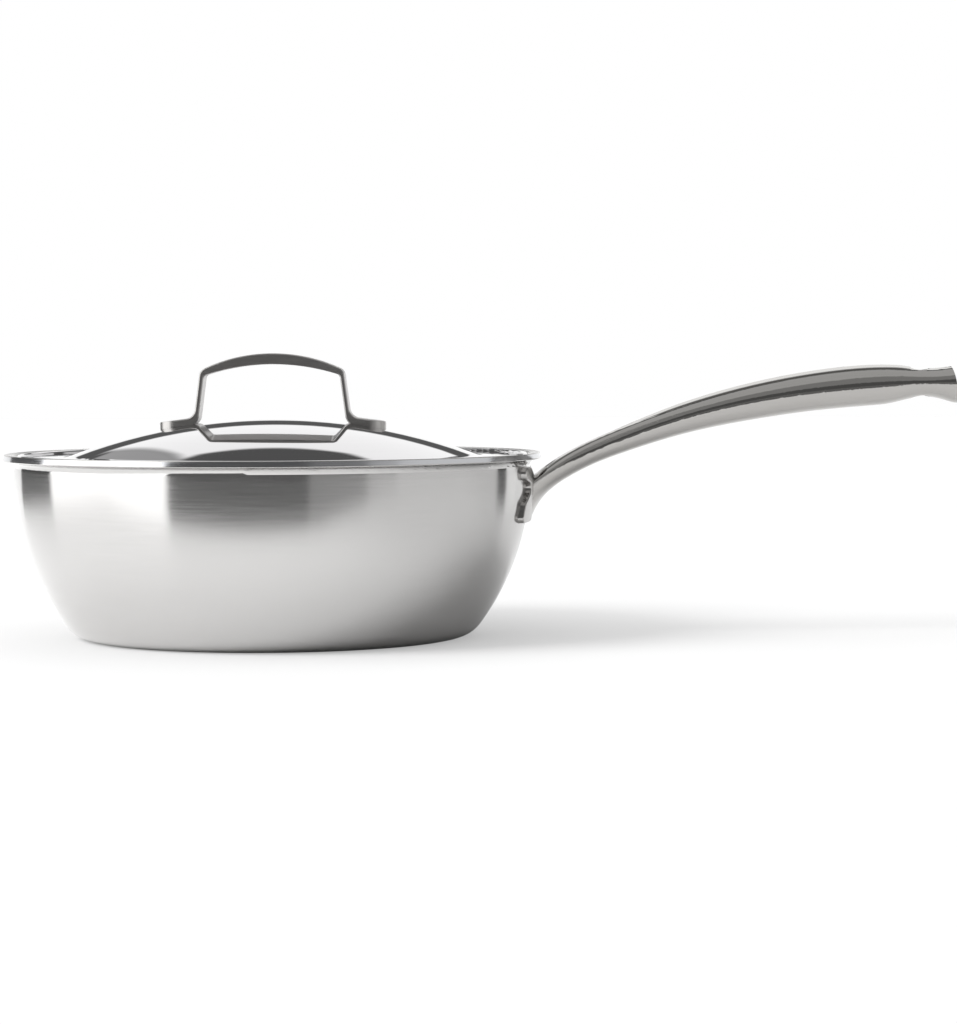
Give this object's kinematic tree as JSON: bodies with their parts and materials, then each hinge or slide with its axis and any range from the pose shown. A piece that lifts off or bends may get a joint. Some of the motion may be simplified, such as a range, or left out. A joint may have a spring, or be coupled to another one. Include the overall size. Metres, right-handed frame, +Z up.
{
  "type": "saute pan with lid",
  "caption": "Deep clad stainless saute pan with a flared lip, a long hollow handle with a hanging hole, and a lift-off domed lid with a strap handle.",
  "frame": {"origin": "centre of the base, on the pan's upright axis, at the plane it stands on", "axes": "+Z up along the pan's axis, +X out along the long handle, +Y completes the right-handed frame"},
  "size_m": [0.4912, 0.2762, 0.146],
  "materials": {
    "satin_steel": "fine satin brushed round the wall",
    "core_aluminium": "bare, seen only as a line in the lip's edge",
    "lining_steel": "fine satin cooking surface, polished lip",
    "handle_steel": "polished stainless steel",
    "lid_steel": "mirror-polished stainless steel",
    "lid_handle_steel": "polished stainless steel"
  },
  "bodies": {
    "pan": {"pan_outer_shell": "satin_steel", "pan_core": "core_aluminium", "pan_inner_lining": "lining_steel", "handle_flange": "handle_steel", "handle_upper_shell": "handle_steel", "handle_lower_shell": "handle_steel", "hanging_eyelet": "handle_steel", "handle_end_cap": "handle_steel"},
    "lid": {"lid_dome": "lid_steel", "lid_handle": "lid_handle_steel"}
  },
  "joints": [
    {"name": "lid_lift", "type": "slide", "parent": "pan", "child": "lid", "axis": [0, 0, 1], "range_m": [0, 0.08]}
  ]
}
